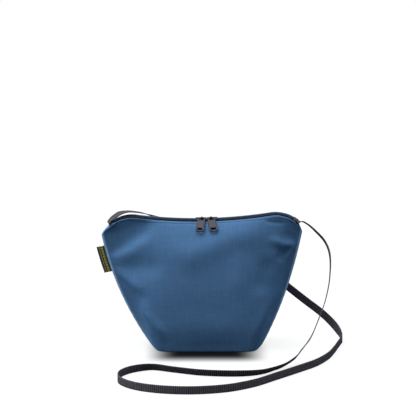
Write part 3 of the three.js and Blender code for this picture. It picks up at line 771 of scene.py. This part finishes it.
# The lining hangs just inside, up to the zip's tapes
def makeLining(name, side, points, normals, levels, flat, node):
    low, high = cloth["liningLevels"]
    lined = (levels > low) & (levels < high)
    pick = lambda grid: grid[lined][:, 2:-2:3]
    wall = shape["wall"] * cloth["innerShare"]
    outer, inner = [pick(points - normals * (wall + gap)) for gap in cloth["liningGaps"]]
    for grid in (outer, inner):
        grid[..., 1] = side * np.maximum(side * grid[..., 1], cloth["liningDepth"])
    rows = np.concatenate([outer, inner[::-1]])
    flats = np.concatenate([pick(flat), pick(flat)[::-1]])[..., :2]
    addShell(name, rows, flats, len(outer), side > 0, liningCloth, node)


def clothPaint(name, low, high, weave, paintedRim=None):
    paint = Paint(name)
    along, across, edge = paint.flat(3)
    threads = ((along / (weave * mm)).wave() * (across / (weave * mm)).wave()) ** 0.6
    slubs = paint.yarns(along, across, 90, 22, 3, (0.0, 7.3))
    cloud = paint.noise(26, 3)
    coarse = paint.yarns(along, across, 30, 26, 2, (3.1, 9.7))
    shade = (slubs - 0.5) * 1.8 + (coarse - 0.5) * 1.5 + (cloud - 0.5) * 0.35
    shade = shade + (threads - 0.55) * 0.45 + 0.5
    colour = paint.mix(shade, srgb(*low), srgb(*high))
    # a painted highlight: the cloth is lighter near the side seams and the outline, standing in for
    # rim light
    if paintedRim:
        share = (edge / mm).over(*cloth["highlightFade"]) * cloth["highlightShare"]
        colour = paint.mix(share, colour, srgb(*paintedRim))
    normal = paint.bump(threads * 0.8 + slubs * 0.6, cloth["bump"], 0.7)
    return paint.finish(Base_Color=colour, Roughness=0.9, Normal=normal, Specular_IOR_Level=0.03,
                        Sheen_Weight=0.5, Sheen_Roughness=0.2, Sheen_Tint=(0.5, 0.75, 1.0, 1.0))


print("cloth panels")
blueCloth = clothPaint("blue cloth", cloth["dark"], cloth["light"], cloth["weave"], cloth["rimHighlight"])
baseCloth = clothPaint("base cloth", cloth["dark"], cloth["light"], cloth["weave"])
liningCloth = clothPaint("lining cloth", (50, 54, 60), (66, 70, 76), cloth["liningWeave"])
frontSurface = clothPanel("front_cloth", -1, "front_panel", "lining_front", frontFolds)
backSurface = clothPanel("back_cloth", 1, "back_panel", "lining_back", backFolds)


# The base: its cloth, the board on it and the lining over that

base = {
    "cloth": (4.1, 0.0, 1.4),   # how far inside the surface's foot it ends, bottom and thickness
    "board": (5.2, 1.7, 1.5),
    "lining": (5.6, 3.5, 0.6),
    "edge": 0.6, "middleShare": 0.75, "steps": 81,
}


def baseRing(inset):
    shares = np.sin(np.linspace(-0.5, 0.5, base["steps"]) * math.pi)
    ring = np.concatenate([bodyGrid(side, -side * shares, [0.0])[0][:-1] for side in (-1, 1)])
    ring[:, 2] = 0
    along = unit(np.roll(ring, -1, axis=0) - np.roll(ring, 1, axis=0))
    return ring - inset * np.stack([along[:, 1], -along[:, 0], 0 * along[:, 0]], axis=-1)


def plate(name, layer, material, node):
    inset, bottom, thickness = base[layer]
    half, edge = thickness / 2, base["edge"]
    rim = [(inset + edge - edge * math.cos(a), bottom + half + half * math.sin(a))
           for a in np.radians(range(-90, 91, 30))]
    rings = [baseRing(run) + (0, 0, z) for run, z in rim]
    inward = (base["middleShare"], base["middleShare"], 1)
    rings = np.array([rings[0] * inward] + rings + [rings[-1] * inward])
    addRings(name, rings, rings[..., :2], material, node)


def boardPaint():
    paint = Paint("base board plastic")
    grain = paint.noise(700, 2)
    colour = paint.mix(grain, srgb(196, 196, 190), srgb(212, 212, 207))
    return paint.finish(Base_Color=colour, Roughness=0.6, Normal=paint.bump(grain, 0.05, 0.4))


print("base")
plate("base_cloth", "cloth", baseCloth, "base_panel")
plate("base_board_plate", "board", boardPaint(), "base_board")
plate("lining_base_cloth", "lining", liningCloth, "lining_base")


# The zip: a woven tape and a coil on each side, and the stitches through the folded edges

zipper = {
    "tapeInner": 0.7, "tapeThickness": 0.7, "tapeUnderLip": 0.4, "tapeEndMargin": 9.5,
    "tapeTaper": (16.0, 5.5), "tapeStep": 1.5, "tapeShares": (0.03, 0.35, 0.65, 0.97),
    "cord": 0.62, "pick": 0.9, "skew": 1.8,     # the tape's weave
    "coilPitch": 1.6, "coilMiddle": 1.62, "coilHalfWidth": 1.66, "coilHalfHeight": 0.45,
    "wire": 0.33, "coilEndMargin": 9.0, "coilSteps": 12,
    "stitchAt": 3.6, "stitchPitch": 3.1, "stitchLength": 2.5, "stitchRadius": 0.2, "twist": 0.7,
    "stitchShare": 0.955,       # of the chain's half length
    "stitchLift": (-0.12, 0.1, 0.17, 0.17, 0.1, -0.12), "stitchSwell": (0.6, 1, 1, 1, 1, 0.6),
}


def makeTape(side, end, paint):
    reach = chainHalf - zipper["tapeEndMargin"]
    distances = np.linspace(-reach, reach, int(2 * reach / zipper["tapeStep"]))
    taper, blunt = zipper["tapeTaper"]
    narrowing = smooth01(np.abs(distances), reach - taper, reach - blunt)
    edge = shape["lipHalfGap"] + zipper["tapeUnderLip"] * (1 - narrowing)
    edge -= shape["clearance"] * narrowing
    inner, low, shares = zipper["tapeInner"], -zipper["tapeThickness"], zipper["tapeShares"]
    ring = [(share, low) for share in shares] + [(1.0, low / 2)]
    ring += [(share, 0.0) for share in shares[::-1]] + [(0.0, low / 2)]
    rings, flats = [], []
    for share, height in ring:
        across = inner + (edge - inner) * share
        rings.append(zipPoint(distances, side * across, height))
        flats.append(np.stack([distances, across], axis=-1))
    rings, flats = np.stack(rings, axis=1), np.stack(flats, axis=1)
    addRings("tape_" + end, rings, flats, paint, "zip_tape_" + end, flip=side < 0)


# One wire wound in flat loops whose heads reach between the other side's
def makeCoil(side, end, paint):
    reach, pitch = chainHalf - zipper["coilEndMargin"], zipper["coilPitch"]
    distances = np.linspace(-reach, reach, int(2 * reach / pitch * zipper["coilSteps"]))
    turn = 2 * math.pi * distances / pitch + (math.pi if side > 0 else 0)
    squared = lambda v: np.sign(v) * np.abs(v) ** 0.75
    aside = -squared(np.cos(turn)) * zipper["coilHalfWidth"]
    rise = squared(np.sin(turn)) * zipper["coilHalfHeight"]
    middle = shape["clearance"] + zipper["wire"] + zipper["coilHalfHeight"]
    spots = zipPoint(distances, side * (zipper["coilMiddle"] + aside), middle + rise)
    centres = zipPoint(distances, side * zipper["coilMiddle"], middle)
    addTube("coil_" + end, spots, spots - centres, zipper["wire"], [distances, aside],
            paint, "zip_coil_" + end)


def makeStitches(end, surface, paint):
    points, normals, shares = surface
    steps = np.linalg.norm(np.diff(points, axis=0), axis=-1)
    away = np.concatenate([np.cumsum(steps[::-1], axis=0)[::-1], np.zeros((1, points.shape[1]))])
    inside = np.flatnonzero(np.abs(shares) < zipper["stitchShare"])
    line, outs = [
        np.concatenate([readAt([zipper["stitchAt"]], away[::-1, c], grid[::-1, c]) for c in inside])
        for grid in (points, normals)]
    runs, pitch = runsAlong(line), zipper["stitchPitch"]
    lift, swell = np.array(zipper["stitchLift"]), np.array(zipper["stitchSwell"])
    made, faces, flats = [], [], []
    for first in np.arange(0, runs[-1] - pitch, pitch):
        where = first + zipper["stitchLength"] * np.linspace(0, 1, len(lift))
        spots, out = readAt(where, runs, line), unit(readAt(where, runs, outs))
        rings = tubeRings(spots + out * lift[:, None], out, zipper["stitchRadius"] * swell)
        count, size = rings.shape[:2]
        faces += capped(count, size, start=len(made) * count * size)
        made.append(rings.reshape(-1, 3))
        flats.append(np.repeat(np.stack([where, 0 * where], axis=-1), size, axis=0))
    addPiece("stitches_" + end, np.concatenate(made), faces, np.concatenate(flats), paint,
             "zip_stitch_" + end)


def tapePaint():
    paint = Paint("zip tape")
    along, across = paint.flat()
    cords = (across / (zipper["cord"] * mm)).wave()
    picks = (along / (zipper["pick"] * mm) + across / (zipper["skew"] * mm)).wave()
    height = cords * 0.6 + picks * 0.4
    colour = paint.mix(height, srgb(10, 12, 19), srgb(30, 34, 45))
    normal = paint.bump(height, 0.15, 0.8)
    return paint.finish(Base_Color=colour, Roughness=0.85, Normal=normal, Specular_IOR_Level=0.04)


def coilPaint():
    paint = Paint("coil nylon")
    scuff = paint.noise(1300, 3)
    colour = paint.mix(scuff, srgb(18, 20, 26), srgb(38, 42, 50))
    normal = paint.bump(scuff, 0.03, 0.3)
    return paint.finish(Base_Color=colour, Roughness=0.45, Normal=normal, Specular_IOR_Level=0.12)


def threadPaint(name, low, high):
    paint = Paint(name)
    twist = (paint.flat(1)[0] / (zipper["twist"] * mm)).wave()
    colour = paint.mix(twist, srgb(*low), srgb(*high))
    return paint.finish(Base_Color=colour, Roughness=0.7, Normal=paint.bump(twist, 0.08, 0.6))


print("zip")
tapeCloth, coilNylon = tapePaint(), coilPaint()
blueThread = threadPaint("blue thread", (38, 66, 99), (66, 101, 138))
for side, end, surface in ((-1, "front", frontSurface), (1, "back", backSurface)):
    makeTape(side, end, tapeCloth)
    makeCoil(side, end, coilNylon)
    makeStitches(end, surface, blueThread)


# The two sliders with their bails, and the pulls

slider = {
    "spacing": 14.7, "meeting": 4.0, "length": 14.0, "bailShift": 1.3,
    "pinForward": 2.8, "pinHeight": 4.8, "plateBottom": 2.2, "lowerTop": -1.0, "postHalf": 0.73,
    "blockPast": 0.2, "blockShort": 0.02,       # the block that cuts out the post, against its room
    "pullDrop": 37.0, "pullSplay": 8.0,
    "voxel": 0.17, "rounding": 4,
    "knurl": 0.95, "knurlDepth": 0.22, "knurlSide": (3.9, 3.3),
    "knurlEnds": ((5.0, 5.8), (17.8, 17.2)),
    "rim": (-0.3, -0.6),        # the depth at which the pull's dark sides begin
}
blockFaces = [(0, 1, 3, 2), (4, 6, 7, 5), (0, 4, 5, 1), (2, 3, 7, 6), (0, 2, 6, 4), (1, 5, 7, 3)]


# A copy of a CAD solid in millimetres, with a block cut out of it, its edges rounded
def rounded(node, block=None):
    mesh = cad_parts[node].data.copy()
    mesh.transform(Matrix.Scale(1 / mm, 4))
    piece, cutter = addObject(node + "_rounding", mesh), None
    if block:
        box = bpy.data.meshes.new("block")
        box.from_pydata(block, [], blockFaces)
        cutter = addObject("block", box)
        cut = piece.modifiers.new("cut", "BOOLEAN")
        cut.operation = "DIFFERENCE"
        cut.object = cutter
    remesh = piece.modifiers.new("remesh", "REMESH")
    remesh.mode = "VOXEL"
    remesh.voxel_size = slider["voxel"]
    soften = piece.modifiers.new("soften", "SMOOTH")
    soften.factor = 0.5
    soften.iterations = slider["rounding"]
    graph = bpy.context.evaluated_depsgraph_get()
    done = bpy.data.meshes.new_from_object(piece.evaluated_get(graph))
    points = np.empty(len(done.vertices) * 3)
    done.vertices.foreach_get("co", points)
    faces = [tuple(polygon.vertices) for polygon in done.polygons]
    for extra in (piece, cutter):
        if extra:
            bpy.data.objects.remove(extra)
    return points.reshape(-1, 3), faces


def seatOf(side):
    at = slider["meeting"] + side * slider["spacing"] / 2
    spot, along, across, out = zipFrame(at)
    return at, spot, np.stack([along, across, out])


def makeSlider(side, end, paint):
    at, spot, ways = seatOf(side)
    half = slider["length"] / 2 + slider["blockPast"]
    short = slider["blockShort"]
    heights = (slider["lowerTop"] + short, slider["plateBottom"] - short)
    block = [tuple(zipPoint(at + a * half, b * slider["postHalf"], height))
             for a in (-1, 1) for b in (-1, 1) for height in heights]
    points, faces = rounded(end + "_slider", block)
    local = (points - spot) @ ways.T
    addPiece(end + "_slider_metal", points, faces, local[:, :2], paint,
             end + "_slider", rides=end + "_slider")


def makePull(side, end, paint):
    _, spot, ways = seatOf(side)
    turn = side * math.radians(slider["pullSplay"])
    drop = math.radians(slider["pullDrop"] - shape["zipTilt"] - 90)
    pin = np.array([-side * slider["bailShift"], -slider["pinForward"], slider["pinHeight"]])
    lie = np.array(Matrix.Rotation(turn, 3, "Z") @ Matrix.Rotation(drop, 3, "X"))
    points, faces = rounded(end + "_pull")
    local = (points - spot - pin @ ways) @ ways.T @ lie
    addPiece(end + "_pull_metal", points, faces, local[:, [0, 2, 1]], paint,
             end + "_pull", rides=end + "_pull")


def metalPaint(name, knurled):
    paint = Paint(name)
    across, down, rise = paint.flat(3)
    speck = paint.noise(1600, 3)
    colour = paint.mix(speck, srgb(12, 12, 15), srgb(26, 26, 31))
    height = speck * 0.2
    if knurled:
        pitch = slider["knurl"] * mm
        ridges = ((across + down) / pitch).wave() * ((across - down) / pitch).wave()
        middle = (abs(across) / mm).over(*slider["knurlSide"])
        for edges in slider["knurlEnds"]:
            middle = middle * (down / mm * -1).over(*edges)
        knurls = ridges * middle
        height = height + knurls
        plain = paint.mix(speck, srgb(38, 38, 46), srgb(60, 60, 68))
        colour = paint.mix(knurls, plain, srgb(92, 92, 102))
        colour = paint.mix((rise / mm).over(*slider["rim"]), srgb(16, 16, 20), colour)
    normal = paint.bump(height, slider["knurlDepth"], 0.7)
    return paint.finish(Base_Color=colour, Specular_IOR_Level=0.12, Roughness=0.45, Normal=normal)


print("sliders")
sliderMetal, pullMetal = metalPaint("slider metal", False), metalPaint("pull metal", True)
for side, end in ((-1, "left"), (1, "right")):
    makeSlider(side, end, sliderMetal)
    makePull(side, end, pullMetal)


# The strap's sewn ends, each held by a zigzag of thread

sewn = {
    "from": 7.4, "to": 1.1, "height": 2.2, "steps": 12,
    "tackHalf": 4.0, "tackWidth": 1.1, "tackZigs": 15, "tackRadius": 0.17, "tackLift": 0.1,
    "perZig": 4, "twists": 0.8,
}


def makeSewnEnd(side, end, thread):
    distances = side * (chainHalf - np.linspace(sewn["from"], sewn["to"], sewn["steps"]))
    spots = zipPoint(distances, 0, sewn["height"])
    webbing(end + "_sewn_end", spots, zipFrame(distances)[2], end + "_strap_end")
    zigs = 2 * sewn["tackZigs"] + 1
    turns = np.arange(zigs)
    across = np.linspace(-sewn["tackHalf"], sewn["tackHalf"], zigs)
    sway = np.where(turns % 2, 0.5, -0.5) * sewn["tackWidth"]
    where = np.linspace(0, zigs - 1, zigs * sewn["perZig"])
    middle = chainHalf - (sewn["from"] + sewn["to"]) / 2
    runs = side * (middle + np.interp(where, turns, sway))
    height = sewn["height"] + strap["thickness"] / 2 + sewn["tackLift"]
    line = zipPoint(runs, np.interp(where, turns, across), height)
    addTube(end + "_tack_thread", line, zipFrame(runs)[3], sewn["tackRadius"],
            [where * sewn["twists"], 0 * where], thread, end + "_bar_tack")


print("sewn ends")
brownThread = threadPaint("brown thread", (62, 42, 28), (112, 80, 54))
for side, end in ((-1, "left"), (1, "right")):
    makeSewnEnd(side, end, brownThread)


# The label: a ribbon folded double, its cut ends caught in the left side seam

label = {
    "topShare": 0.836, "height": 34.0, "reach": 9.0, "thickness": 0.8, "droop": 11.0, "tuck": 2.6,
    "fold": 0.35, "curl": 0.9, "rows": 18, "columns": 9,
    "warp": 0.45, "weft": 0.7, "dash": 3.6,
    "stripes": ((2.7, 2.6), (5.9, 0.8)),        # middle and width
}


def makeLabel():
    seamLength = float(zipFrame(-chainHalf)[0][2])
    droop = math.radians(label["droop"])
    outward = np.array([-math.cos(droop), 0, -math.sin(droop)])
    reach, thick = label["reach"], label["thickness"] / 2
    runs = np.linspace(-label["tuck"], reach - label["fold"], label["columns"])
    rings, flats = [], []
    for share in np.linspace(0, 1, label["rows"] + 1):
        level = label["topShare"] - label["height"] / seamLength * (1 - share)
        seam = bodyGrid(-1, np.array([-1.0]), [level])[0][0] * (1, 0, 1)
        curl = label["curl"] * (0.6 + 0.6 * math.sin(2.2 * share + 0.6))
        sway = lambda run: -curl * (max(run, 0) / reach) ** 2
        half = lambda run: thick * (0.25 + 0.75 * min(max((run + 0.3) / 1.5, 0), 1))
        ring = [(run, sway(run) - half(run)) for run in runs] + [(reach, sway(reach))]
        ring += [(run, sway(run) + half(run)) for run in runs[::-1]]
        rings.append([seam + outward * run + (0, y, 0) for run, y in ring])
        flats.append([(share * label["height"], run) for run, y in ring])
    addRings("label_ribbon", np.array(rings), np.array(flats), labelPaint(),
             "side_label")


def labelPaint():
    paint = Paint("green ribbon")
    along, across = paint.flat()
    weave = (along / (label["warp"] * mm)).wave() * (across / (label["weft"] * mm)).wave()
    green = paint.mix(weave, srgb(17, 42, 44), srgb(40, 72, 72))
    gold = 0
    for place, wide in label["stripes"]:
        gold = gold + (abs(across - place * mm) / mm).over(wide / 2 + 0.1, wide / 2 - 0.1)
    gold = gold * (along / (label["dash"] * mm)).wave().over(0.25, 0.5)
    colour = paint.mix(gold, green, srgb(196, 164, 50))
    normal = paint.bump(weave + gold * 0.8, 0.12, 0.7)
    return paint.finish(Base_Color=colour, Roughness=0.7, Normal=normal, Specular_IOR_Level=0.3)


print("label")
makeLabel()
